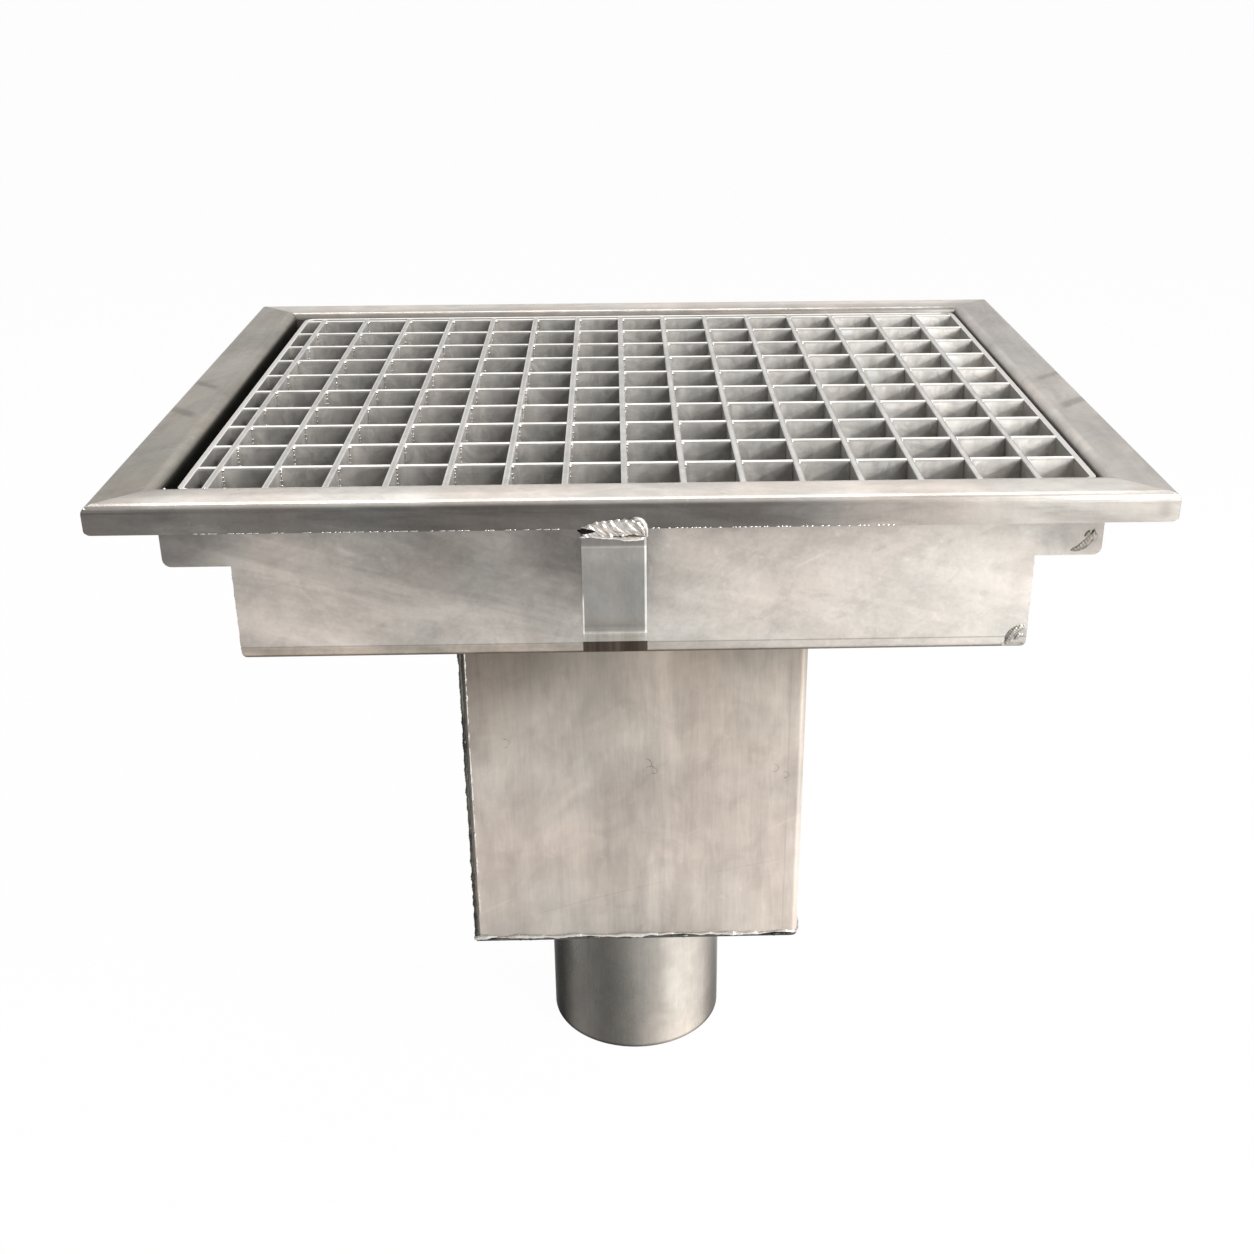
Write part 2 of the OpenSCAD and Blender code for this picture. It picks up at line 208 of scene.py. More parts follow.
def mix_colour(factor, a, b, blend="MIX"):
    """The colour a, and b laid over it where the factor is 1."""
    a, b = (colour if isinstance(colour, Value) else (*colour, 1) for colour in (a, b))
    mixed = node(factor.tree, "ShaderNodeMix", {0: factor, 6: a, 7: b}, data_type="RGBA", blend_type=blend)
    return mixed.output(2)


def object_place(tree):
    """The place of a point in its object, in metres."""
    return node(tree, "ShaderNodeTexCoord", {}).output("Object")


def stretched(tree, scale, turn=(0, 0, 0), shift=(0, 0, 0)):
    """The place of a point, turned, shifted and then scaled."""
    turned_place = node(tree, "ShaderNodeMapping", {"Vector": object_place(tree), "Rotation": turn,
                                                    "Location": shift})
    return node(tree, "ShaderNodeMapping", {"Vector": turned_place, "Scale": scale})


def noise(place, scale, detail=3.0, rough=0.5, distort=0.0):
    """Soft noise from 0 to 1."""
    return node(place.tree, "ShaderNodeTexNoise", {"Vector": place, "Scale": scale, "Detail": detail,
                "Roughness": rough, "Distortion": distort})


# Floor, world and lamps, in metres
FLOOR_SIZE = 60.0
FLOOR_GREY = 0.85
FLOOR_SEEN, FLOOR_IN_METAL = 0.975, 0.3
ROOM_SEEN, ROOM_IN_METAL, ROOM_LIGHT = 1.0, 0.8, 0.3
LAMPS = (  # name, place, target, size, power
    ("key", (0.95, -0.75, 1.25), (0.15, -0.1, 0.3), (0.45, 0.45), 22.0),
    ("overhead", (0.0, 0.75, 1.7), (0.0, 0.0, 0.43), (1.6, 0.5), 22.0),
    ("side", (0.75, -1.0, 0.55), (0.35, -0.65, 0.0), (0.4, 0.4), 12.0),
)
FLAGS = (  # name, place, target, size, grey
    ("flag_left", (-1.0, -0.95, 0.25), (0.0, 0.0, 0.25), (1.1, 0.9), 0.03),
    ("flag_side", (-1.4, 0.1, 0.35), (0.0, 0.0, 0.35), (1.4, 1.0), 0.05),
)


def seen_white(tree, camera, glossy):
    """The share of plain white that each kind of ray sees."""
    path = node(tree, "ShaderNodeLightPath", {})
    straight = maths("MAXIMUM", path.output("Is Camera Ray"), path.output("Is Transmission Ray"))
    return maths("MAXIMUM", straight * camera, path.output("Is Glossy Ray") * glossy)


def add_card(name, width, height):
    """A flat rectangle with its middle at the origin."""
    w, h = width / 2, height / 2
    mesh = bpy.data.meshes.new(name)
    mesh.from_pydata([(-w, -h, 0), (w, -h, 0), (w, h, 0), (-w, h, 0)], [], [(0, 1, 2, 3)])
    card = bpy.data.objects.new(name, mesh)
    bpy.context.scene.collection.objects.link(card)
    return card


def add_floor():
    """A floor that the camera sees as white, apart from the object's shadow."""
    floor = add_card("floor", FLOOR_SIZE, FLOOR_SIZE)
    material = bpy.data.materials.new("floor_white")
    tree = tree_of(material)
    paper = node(tree, "ShaderNodeBsdfDiffuse", {"Color": (FLOOR_GREY, FLOOR_GREY, FLOOR_GREY, 1)})
    glow = node(tree, "ShaderNodeEmission", {"Color": (1, 1, 1, 1), "Strength": 1.0})
    share = seen_white(tree, FLOOR_SEEN, FLOOR_IN_METAL)
    mixed = node(tree, "ShaderNodeMixShader", {0: share, 1: paper, 2: glow})
    add_node(tree, "ShaderNodeOutputMaterial", {0: mixed})
    floor.data.materials.append(material)


def add_world():
    """A room that is white to the camera, a little darker in metal, and dim as a light."""
    world = bpy.data.worlds.new("room")
    bpy.context.scene.world = world
    tree = tree_of(world)
    strength = maths("MAXIMUM", seen_white(tree, ROOM_SEEN, ROOM_IN_METAL), ROOM_LIGHT)
    back = node(tree, "ShaderNodeBackground", {"Color": (1, 1, 1, 1), "Strength": strength})
    add_node(tree, "ShaderNodeOutputWorld", {0: back})


def aim(obj, place, target):
    """Puts an object in its place and turns its face to the target."""
    obj.location = place
    obj.rotation_euler = (Vector(target) - Vector(place)).to_track_quat("-Z", "Y").to_euler()


def add_lamp(name, place, target, size, power):
    """A rectangular lamp."""
    light = bpy.data.lights.new(name, "AREA")
    light.shape = "RECTANGLE"
    light.size, light.size_y = size
    light.energy = power
    lamp = bpy.data.objects.new(name, light)
    bpy.context.scene.collection.objects.link(lamp)
    aim(lamp, place, target)


def add_flag(name, place, target, size, grey):
    """A grey card beside the set, which only reflections see."""
    flag = add_card(name, *size)
    aim(flag, place, target)
    flag.visible_camera = False
    flag.visible_shadow = False
    material = bpy.data.materials.new(name)
    tree = tree_of(material)
    card = node(tree, "ShaderNodeBsdfDiffuse", {"Color": (grey, grey, grey, 1)})
    add_node(tree, "ShaderNodeOutputMaterial", {0: card})
    flag.data.materials.append(material)


add_floor()
add_world()
for lamp in LAMPS:
    add_lamp(*lamp)
for flag in FLAGS:
    add_flag(*flag)


# Steel
class Paint:
    """The colour of a steel while marks, painted shade and painted highlights are laid on it, and the place
    x, y, z of a point in mm.
    """

    def __init__(self, colour):
        self.tree, self.colour = colour.tree, colour
        place = node(self.tree, "ShaderNodeSeparateXYZ", {0: times(object_place(self.tree), 1 / MM)})
        self.x, self.y, self.z = (place.output(axis) for axis in "XYZ")

    def noise(self, scale, detail, rough, distort=0.0, turn=(0, 0, 0)):
        """Noise with its own scale along each axis."""
        return noise(stretched(self.tree, scale, turn), 1.0, detail, rough, distort)

    def scale(self, factor, *where):
        """The colour times the factor, where all masks are 1."""
        self.colour = times(self.colour, masks(*where) * (factor - 1) + 1.0)

    def tint(self, colour, *where):
        """The colour times another colour, where all masks are 1."""
        self.colour = mix_colour(masks(*where), self.colour, colour, "MULTIPLY")

    def cover(self, colour, *where):
        """Another colour instead, where all masks are 1."""
        self.colour = mix_colour(masks(*where), self.colour, colour)


SCRATCHES = (  # turn, scale
    ((0.3, 0.45, 0.2), (4, 160, 160)),
    ((0.2, -0.7, 0.5), (5, 210, 210)),
    ((0.9, 1.3, 0.1), (4, 240, 240)),
)
SCRATCH_COLOUR = (0.8, 0.78, 0.75)
BRIGHTEST = (0.92, 0.92, 0.92)
COOLER, WARMER = (0.025, 0, -0.005), (0.03, 0, -0.015)
GRAIN_HEIGHT = 0.0004


def steel(name, colour, rough, grain=(40, 40, 40), contrast=0.3, blotch=7.0, strokes=(), anisotropic=0.0,
          brushed=None, bump=0.15, shift=0.0, metallic=0.9, marks=None, scratches=0.2, tint=1.0, edge=1.0):
    """Satin stainless steel: soft blotches, polishing strokes, streaks, fine scratches and its marks, painted
    shade and highlights among them.
    """
    material = bpy.data.materials.new(name)
    tree = tree_of(material)
    away = (shift, shift * 0.7, shift * 1.3)
    plain = stretched(tree, (1, 1, 1), shift=away)

    light = ramp(noise(plain, blotch, 3.0, 0.55, 0.6), 0.3, 0.7, -0.5, 0.5)
    fleck = ramp(noise(plain, blotch * 7, 3.0, 0.6, 0.8), 0.3, 0.75, -0.5, 0.5)
    fine = noise(stretched(tree, grain, shift=away), 12.0, 4.0, 0.6)
    shade = light * 0.5 + fleck * 0.25 + (fine - 0.5) * 0.5
    for scale, turn, strength in strokes:
        band = noise(stretched(tree, scale, turn, away), 1.0, 4.0, 0.62, 0.5)
        shade = shade + ramp(band, 0.3, 0.7, -strength / 2, strength / 2)
    cuts = [ramp(noise(stretched(tree, scale, turn, away), 1.0, 2.0, 0.5), 0.69, 0.76)
            for turn, scale in SCRATCHES]
    cut = maths("MAXIMUM", maths("MAXIMUM", cuts[0], cuts[1]), cuts[2])

    base = mix_colour(ramp(noise(plain, blotch * 1.7, 2.0, 0.5), 0.35, 0.65),
                      tuple(c * (1 - k * tint) for c, k in zip(colour, COOLER)),
                      tuple(c * (1 + k * tint) for c, k in zip(colour, WARMER)))
    base = times(base, shade * contrast + 1.0)
    base = mix_colour(cut * scratches, base, SCRATCH_COLOUR)
    if marks:
        paint = Paint(base)
        marks(paint)
        base = paint.colour
    base = node(tree, "ShaderNodeVectorMath", {0: base, 1: BRIGHTEST}, operation="MINIMUM")

    roughness = ramp(fine + light * 0.4, 0.2, 0.8, rough + 0.06, rough - 0.06)
    height = fine * 0.6 - cut * 0.5
    bumped = node(tree, "ShaderNodeBump", {"Strength": bump, "Distance": GRAIN_HEIGHT, "Height": height})
    inputs = {"Base Color": base, "Metallic": metallic, "Roughness": roughness, "Normal": bumped,
              "Anisotropic": anisotropic, "Specular Tint": (edge, edge, edge, 1)}
    if brushed:
        normal = node(tree, "ShaderNodeNewGeometry", {}).output("Normal")
        way = node(tree, "ShaderNodeVectorMath", {0: normal, 1: brushed}, operation="CROSS_PRODUCT")
        inputs["Tangent"] = node(tree, "ShaderNodeVectorMath", {0: way, 1: (0.002, 0.003, 0.004)},
                                 operation="ADD")
    surface = node(tree, "ShaderNodeBsdfPrincipled", inputs)
    add_node(tree, "ShaderNodeOutputMaterial", {0: surface})
    return material


# Marks of each piece, painted shade and painted highlights among them, with places in mm. Depth counts from
# the middle outwards, and side to the right as seen from outside, at the front and at the back
def rail_marks(paint, depth, side):
    """The front rail: painted shade towards the wall, a painted highlight along the outer bend that is
    strongest at the left, mottle, and painted shade at the left mitre.
    """
    top = ramp(paint.z, rim_top - 2, rim_top - 1)
    # Painted shade on the top towards the wall.
    paint.scale(0.84, top, ramp(depth, 190, 177))
    # Painted highlight along the outer bend, strongest at the left.
    paint.scale(1.2, top, between(depth, 187, 198.5, 2.5), ramp(side, 20, -100))
    paint.scale(0.88, top, ramp(paint.noise((22, 60, 22), 3.0, 0.6, 1.0), 0.4, 0.62))
    mitre = abs(paint.x) - depth
    # Painted shade at the left end, by the mitre.
    paint.scale(0.74, top, ramp(mitre, 18, 46), ramp(side, 0, -100))


def skirt_marks(paint, depth, side):
    """The skirt: painted shade from the left end up to the middle, easing off towards the right, smeared,
    with a blotch near its right end.
    """
    skirt = masks(ramp(depth, skirt_depth - 1.8, skirt_depth - 0.4),
                  ramp(paint.z, rim_top - 0.8, rim_top - 2.6))
    # Painted shade: darkest up to the middle, less towards the right end.
    dark = ramp(side, -240, -90, 0.7, 0.97) + ramp(side, 45, 130, 0.0, -0.62)
    dark = dark + (ramp(side, 135, 172, 0.0, -0.1) + ramp(side, 180, 215, 0.0, 0.1))
    paint.scale(0.3, skirt, maths("MAXIMUM", dark, 0.0))
    smear = paint.noise((11, 40, 90), 4.0, 0.62, 1.0)
    paint.scale(0.76, skirt, ramp(smear, 0.45, 0.68))
    paint.scale(1.3, skirt, ramp(smear, 0.42, 0.28))
    paint.scale(0.82, skirt, cloud_at(side, paint.z, 243, 424, 4.5, 6.0))


# Clouds on the wall: the steel's own blotches, painted shade at the left, painted light at the right, and a
# painted shadow left of the anchor.
WALL_BLOTCHES_AND_PAINTED_LIGHT = (  # side, height, half width, half height, factor
    (-52, 390, 95, 46, 0.64),
    (-150, 352, 60, 22, 1.16),
    (-95, 366, 50, 12, 1.1),
    (-36, 402, 26, 26, 0.58),
    (45, 380, 90, 50, 1.13),
    (75, 356, 90, 16, 1.08),
    (135, 385, 75, 55, 1.2),
    (-215, 405, 40, 26, 0.62),
    (8, 404, 8, 40, 0.84),
    (212, 403, 26, 14, 0.8),
)


def wall_marks(paint, depth, side):
    """The wall: its brake line and the strip under it, painted shade along the tray's bottom edge and under
    the skirt, streaks, mottle, painted shade towards both ends, and clouds of blotches, painted shade and
    painted light.
    """
    z = paint.z
    wall = masks(ramp(depth, wall_depth + 2.5, wall_depth + 1), ramp(depth, wall_depth - 3, wall_depth - 1.5))
    paint.scale(0.62, wall, between(z, BRAKE_Z - 0.3, BRAKE_Z + 0.3, 0.35))
    paint.scale(0.86, wall, between(z, 340.0, 349.0, 0.5), ramp(side, 150, -60))
    paint.tint((0.93, 0.88, 0.82), wall, ramp(z, BRAKE_Z, BRAKE_Z - 0.6), ramp(side, 90, -60))
    # Painted shade, brownish, along the tray's bottom edge.
    paint.tint((0.34, 0.29, 0.24), ramp(depth, wall_depth - 6, wall_depth - 4), ramp(z, 345.6, 344.6))
    # Painted shadow under the skirt, darker towards the top.
    paint.scale(0.7, wall, ramp(z, 396, 420))
    streaks = paint.noise((8, 8, 80), 4.0, 0.6, 0.8, turn=(0, -0.3, 0))
    paint.scale(1.2, wall, ramp(side, 30, -60), ramp(streaks, 0.42, 0.66))
    mottle = paint.noise((38, 38, 55), 4.0, 0.65, 1.2, turn=(0, 0.3, 0))
    paint.scale(0.9, wall, ramp(mottle, 0.45, 0.62))
    weld_stain = ramp(reach(side - 193.0, z - 342.0), 13.0, 10.0)
    paint.scale(0.78, wall, weld_stain)
    # Painted shade towards the corners at both ends.
    paint.scale(0.84, wall, ramp(side, -190, -222))
    paint.scale(0.86, wall, ramp(side, 190, 222))
    for *cloud, factor in WALL_BLOTCHES_AND_PAINTED_LIGHT:
        paint.scale(factor, wall, cloud_at(side, z, *cloud))


def pan_marks(paint):
    """The tray pan's marks, painted shade and painted highlights among them, the same at the back as at the
    front.
    """
    depth = abs(paint.y)
    side = paint.x * ramp(paint.y, 1, -1, -1, 1)
    rail_marks(paint, depth, side)
    skirt_marks(paint, depth, side)
    wall_marks(paint, depth, side)


RAIL_SMUDGES = ((0.0, 3.5), (-53.0, 4.5))  # y, half length


def side_marks(paint, rebate):
    """The shaded rebate, a painted highlight on the inner bend, mottle and faint smudges."""
    depth = abs(paint.x)
    paint.scale(rebate, ramp(depth, 225.2, 223.4), ramp(paint.z, rim_top - 1, rim_top - 6.5),
                ramp(paint.z, 391, 393))
    mottle = paint.noise((60, 22, 60), 3.0, 0.6, 1.2, turn=(0, 0, 0.3))
    paint.scale(0.86, ramp(mottle, 0.4, 0.65))
    top = ramp(paint.z, rim_top - 2, rim_top - 1)
    patchy = ramp(paint.noise((30, 14, 30), 2.0, 0.5), 0.35, 0.6)
    # Painted highlight along the inner bend, in patches.
    paint.scale(1.3, top, between(depth, 223, 227.5, 1.4), patchy)
    lean = paint.y + (depth - 240.0) * -0.9
    for middle, half in RAIL_SMUDGES:
        paint.scale(0.64, top, between(lean, middle - half, middle + half, 2.5), ramp(depth, 229, 236))


# Clouds of painted shade high up under the tray, and of painted light low at the right.
SUMP_SHADE_AND_LIGHT_CLOUDS = (  # x, height, half width, half height, factor
    (-85, 345, 110, 130, 0.45),
    (-10, 352, 90, 40, 0.86),
    (60, 335, 75, 75, 0.68),
    (65, 160, 90, 85, 1.24),
)
LONG_SCRATCHES = (  # height at x = 0, slope, bend, first x, last x
    (151.8, 0.27, -0.0003, -60, 16),
    (151.7, 0.22, 0.0, 45, 86),
)
CURLED_SCRATCHES = (  # x, height, radius
    (6.5, 236, 2.6), (10, 231, 2.2), (79, 231.5, 2.4), (85, 227, 2.2), (-73.5, 250, 2.6),
)


def sump_marks(paint):
    """Soft swirls, painted shade under the tray, clouds of painted shade and painted light, two kinds of
    scratches, a painted highlight on the bend and a burnt edge.
    """
    x, y, z = paint.x, paint.y, paint.z
    front = ramp(y, 1.5 - sump_half, 0.5 - sump_half)
    swirl = paint.noise((17, 17, 6), 3.0, 0.55, 1.6, turn=(0, 0.12, 0))
    paint.scale(0.85, ramp(swirl, 0.4, 0.6))
    patch = paint.noise((50, 50, 34), 3.0, 0.6, 1.0, turn=(0, -0.2, 0))
    paint.scale(0.93, ramp(patch, 0.45, 0.62))
    # Painted shade under the tray: warmer and darker towards the top.
    paint.tint((0.81, 0.78, 0.73), ramp(z, 190, 345))
    paint.scale(0.76, ramp(z, 262, 325))
    for *cloud, factor in SUMP_SHADE_AND_LIGHT_CLOUDS:
        paint.scale(factor, cloud_at(x, z, *cloud))
    paint.scale(0.88, front, between(x, 86.4, 87.2, 0.5))
    # Painted highlight on the front right bend.
    paint.scale(1.35, ramp(x, sump_half - 4, sump_half - 2.5), ramp(y, -80, -90))
    for height, slope, bend, first, last in LONG_SCRATCHES:
        above = z - (x * (slope + x * bend) + height)
        paint.scale(0.88, front, between(above, -0.3, 0.3, 0.5), between(x, first, last, 8))
    wander = paint.noise((420, 420, 420), 1.0, 0.5)
    for centre_x, centre_z, radius in CURLED_SCRATCHES:
        across = x - centre_x
        far = reach(across, z - centre_z) + wander * 3.0
        paint.scale(0.45, front, between(far, radius + 1.35, radius + 1.65, 0.22), ramp(across, -1.5, 0.5))
    paint.scale(0.3, ramp(x, 2.8 - sump_half, 2 - sump_half), ramp(y, -60, -90))


def under_marks(paint):
    """The floor plate's edge is burnt dark by the weld above it."""
    out = maths("MAXIMUM", abs(paint.x), abs(paint.y))
    paint.scale(0.22, ramp(out, sump_half - 3, sump_half - 1.5))


# Painted shade and painted highlights in bands round the pipe: mostly dark at the left, with bright bands
# right of the front.
PIPE_SHADE_AND_HIGHLIGHT_BANDS = (  # from and to in radians round the pipe, softness, factor
    (-3.3, -2.6, 0.25, 0.2),
    (-2.9, -1.5, 0.3, 0.36),
    (-2.5, -2.25, 0.15, 1.25),
    (-2.1, -1.75, 0.15, 0.7),
    (-1.2, -0.7, 0.2, 1.45),
    (-0.5, 0.5, 0.25, 0.5),
    (1.6, 2.3, 0.5, 0.75),
)


def pipe_marks(paint):
    """Broad upright bands of painted shade and painted highlight round the pipe, a dark lower rim and a
    darker ring just under the sump.
    """
    turn = maths("ARCTAN2", paint.y, paint.x)
    for lo, hi, soft, factor in PIPE_SHADE_AND_HIGHLIGHT_BANDS:
        paint.scale(factor, between(turn, lo, hi, soft))
    paint.scale(0.82, ramp(paint.noise((45, 45, 30), 4.0, 0.6, 0.5), 0.3, 0.7))
    paint.scale(0.5, ramp(paint.z, 2.5, 0.8))
    paint.scale(0.62, ramp(paint.z, 104, 114))


def anchor_marks(paint):
    """Painted highlights on the sheared edges, painted shade by the gap at the top left, painted shade on the
    foot's bend and a painted highlight on its top, the foot's cut end dark with scale and painted shade, and
    a darker band under the weld.
    """
    z = paint.z
    side = paint.x * ramp(paint.y, 1, -1, -1, 1) + 10.0
    depth = abs(paint.y)
    face = ramp(depth, 206.5, 205.5)
    right_edge_highlight = masks(ramp(side, 13.8, 14.3), face)
    left_edge_highlight = masks(ramp(side, -14.2, -14.6), ramp(z, 386, 380), face)
    paint.scale(0.84, ramp(z, 404, 396))
    haze = paint.noise((70, 70, 40), 3.0, 0.6, 1.2, turn=(0, 0.5, 0))
    paint.scale(0.92, ramp(haze, 0.45, 0.62))
    # Painted highlights along the sheared edges.
    paint.scale(2.8, maths("MAXIMUM", right_edge_highlight, left_edge_highlight))
    paint.scale(0.68, between(z, 409.0, 414, 0.8))
    paint.scale(1.3, between(z, 408.0, 408.6, 0.3))
    # Painted shade, near black, where the gap at the strap's top left lies in shade.
    paint.scale(0.05, ramp(side, -7.5, -9.5), between(z, 415.6, 417.9, 0.3))
    # Painted shade on the foot's bend.
    paint.scale(0.7, between(z, 365.1, 366.3, 0.4))
    streaks = paint.noise((300, 1, 1), 2.0, 0.6)
    # Painted highlight on the foot's top, streaked.
    paint.scale(4.2, ramp(z, 366.6, 365.4), ramp(streaks, 0.35, 0.6, 0.75, 1.0))
    # The foot's cut end: dark scale with painted shade.
    cut_end_scale_and_shade = mix_colour(ramp(streaks, 0.3, 0.7), (0.030, 0.022, 0.016), (0.075, 0.060, 0.046))
    paint.cover(cut_end_scale_and_shade, ramp(depth, 207.4, 207.8))


def cell_marks(paint, near, cast):
    """Painted shade low in each cell, at its right side and near the front, and painted light at the left of
    each cell, in the right half and towards the right end. In the right half a painted cast shade slants
    down.
    """
    x, y, z = paint.x, paint.y, paint.z
    paint.scale(0.76, ramp(z, grate_hi.z - 2, grate_lo.z))
    along = maths("FLOORED_MODULO", x - bars_x[0], bar_pitch)
    under = ramp(z, grate_hi.z - 0.3, grate_hi.z - 1.5)
    right_part = ramp(along, 8, 26)
    if cast:
        right_half = ramp(x, -30, 60)
        slant = along + (grate_hi.z - z) * 2.0
        paint.scale(0.69, under, right_half, ramp(slant, 24, 29))
        # Painted light in the right half.
        paint.scale(1.15, under, right_half)
        paint.scale(0.68, under, 1.0 - right_half, right_part)
    else:
        paint.scale(0.68, under, right_part)
    # Painted light at the left of each cell.
    paint.scale(1.18, under, between(along, 3.0, 10.0, 2.0))
    # Random mottle in the painted shade.
    shade_mottle = paint.noise((70, 70, 55), 3.0, 0.65, 1.5)
    paint.scale(0.78, under, ramp(shade_mottle, 0.4, 0.62))
    # Painted light towards the right end.
    paint.scale(1.22, under, ramp(x, 20, 200))
    paint.scale(near, under, ramp(y, 40, -150))


def cross_marks(paint):
    """The cross bars' tops have painted shade down the core in the left half and along the edges in the right
    half.
    """
    x = paint.x
    top = ramp(paint.z, grate_hi.z - 0.4, grate_hi.z - 0.1)
    off = abs(maths("FLOORED_MODULO", x - (bars_x[0] - bar_pitch / 2), bar_pitch) - bar_pitch / 2)
    paint.scale(0.93, top)
    # Painted shade down the core in the left half, and along the edges in the right half.
    paint.scale(0.78, top, ramp(off, 0.95, 0.45), ramp(x, 60, -60))
    paint.scale(0.72, top, ramp(off, 0.7, 1.1), ramp(x, -60, 60))
    cell_marks(paint, near=0.95, cast=False)


def band_marks(paint):
    """The band's side runs get painted shade, as dark as the cross bars."""
    # Painted shade on the side runs' tops.
    paint.scale(0.62, ramp(abs(paint.x), grate_hi.x - 9, grate_hi.x - 7),
                ramp(paint.z, grate_hi.z - 0.5, grate_hi.z - 0.1))


# The steels. A stroke is a scale, a turn and a strength
TRAY = (0.462, 0.427, 0.391)
# The left rail's colour: the tray's steel in painted shade.
TRAY_LEFT_SHADED = (0.295, 0.271, 0.231)
TRAY_RIGHT = tuple(0.98 * c for c in TRAY)
SUMP = (0.485, 0.434, 0.389)
GRATE = (0.60, 0.58, 0.55)
WIPES = (((9, 9, 40), (0, -0.2, 0), 0.3), ((12, 12, 130), (0, -0.25, 0), 0.2),
         ((60, 60, 8), (0, 0.1, 0), 0.15))
RAIL_WIPES = (((9, 5, 9), (0, 0, 0.1), 0.6), ((120, 7, 120), (0, 0, 0.02), 0.35))
UPRIGHT = (((19, 19, 2.5), (0, 0.1, 0), 0.35), ((70, 70, 4), (0, 0, 0), 0.24),
           ((160, 160, 6), (0, 0.03, 0), 0.14), ((6, 6, 45), (0, 0.15, 0), 0.12))
PIPE_STREAKS = (((60, 60, 3), (0, 0, 0), 0.3),)
ANCHOR_STREAKS = (((110, 110, 14), (0, 0, 0), 0.2),)
BAR_STREAKS = (((90, 90, 9), (0, 0, 0), 0.3),)

tray_front = steel("tray_front", TRAY, 0.36, contrast=0.42, blotch=9.0, strokes=WIPES, anisotropic=0.45,
                   brushed=X, marks=pan_marks, scratches=0.1)
rail = partial(steel, rough=0.36, contrast=0.4, blotch=8.0, strokes=RAIL_WIPES, anisotropic=0.6, brushed=Y,
               scratches=0.08)
# The left rail is the painted-shade copy, with its rebate painted near black.
tray_left = rail("tray_left", TRAY_LEFT_SHADED, shift=1.7, marks=partial(side_marks, rebate=0.05))
tray_right = rail("tray_right", TRAY_RIGHT, shift=3.1, marks=partial(side_marks, rebate=0.5))
sump_side = steel("sump_side", SUMP, 0.38, grain=(60, 60, 6), contrast=0.4, blotch=7.0, strokes=UPRIGHT,
                  anisotropic=0.3, brushed=Z, shift=0.6, marks=sump_marks, scratches=0.1)
sump_under = steel("sump_under", SUMP, 0.4, shift=2.2, marks=under_marks)
pipe_skin = steel("pipe_skin", (0.54, 0.51, 0.465), 0.24, grain=(60, 60, 5), contrast=0.35, blotch=8.0,
                  strokes=PIPE_STREAKS, shift=4.0, marks=pipe_marks, scratches=0.1, edge=0.42)
anchor_skin = steel("anchor_skin", (0.30, 0.291, 0.274), 0.42, grain=(50, 50, 10), contrast=0.3, blotch=22.0,
                    strokes=ANCHOR_STREAKS, shift=5.0, marks=anchor_marks, scratches=0.03)
bar = partial(steel, colour=GRATE, rough=0.42, blotch=16.0, metallic=0.76, anisotropic=0.6, scratches=0.05,
              tint=0.3)
grate_x = bar("grate_x", grain=(5, 70, 70), contrast=0.5, brushed=X, shift=6.0, strokes=BAR_STREAKS,
              marks=partial(cell_marks, near=0.9, cast=True))
grate_y = bar("grate_y", grain=(70, 5, 70), contrast=0.5, brushed=Y, shift=7.0, strokes=BAR_STREAKS,
              marks=cross_marks)
grate_ring = bar("grate_ring", grain=(5, 70, 70), brushed=X, shift=6.5, marks=band_marks)
basket_skin = steel("basket_skin", (0.50, 0.48, 0.45), 0.4, blotch=9.0, shift=8.0)
wire_skin = steel("wire_skin", (0.56, 0.55, 0.52), 0.3, blotch=16.0, shift=9.0)
bell_skin = steel("bell_skin", (0.50, 0.48, 0.46), 0.36, blotch=8.0, shift=10.0)
weld_bright = steel("weld_bright", (0.62, 0.6, 0.57), 0.26, blotch=60.0, bump=0.3, shift=11.0)
weld_coin = steel("weld_coin", (0.50, 0.47, 0.435), 0.3, contrast=0.6, blotch=50.0, bump=0.1, shift=11.5,
                  scratches=0.0)
# A black unlit blob: painted shade for the gap at the weld's left end.
gap_shade = steel("gap_shade", (0.012, 0.010, 0.009), 0.9, bump=0.1, metallic=0.0, scratches=0.0, edge=0.0)
# Burnt weld metal; on the head's bead it also stands for the painted shade under the tray.
weld_burnt_and_shade = steel("weld_burnt_and_shade", (0.075, 0.078, 0.066), 0.45, contrast=2.0, blotch=30.0, bump=0.3, shift=13.0)
weld_dull = steel("weld_dull", (0.24, 0.225, 0.2), 0.4, contrast=1.3, blotch=70.0, bump=0.4, shift=12.0)

SKINS = (  # start of the node's name, steel. The first that fits is taken
    ("tray_pan", tray_front),
    ("tray_side_left", tray_left),
    ("tray_side_right", tray_right),
    ("sump_sleeve", sump_side),
    ("sump_floor", sump_under),
    ("outlet_pipe", pipe_skin),
    ("standpipe", pipe_skin),
    ("anchor", anchor_skin),
    ("grate_cross", grate_y),
    ("grate_bearing", grate_x),
    ("grate_band", grate_ring),
    ("basket_bail", wire_skin),
    ("basket", basket_skin),
    ("bell_handle", wire_skin),
    ("bell", bell_skin),
)

for name, obj in nodes.items():
    skin = next(material for start, material in SKINS if name.startswith(start))
    for slot in obj.material_slots:
        slot.material = skin
    if not obj.material_slots:
        obj.data.materials.append(skin)


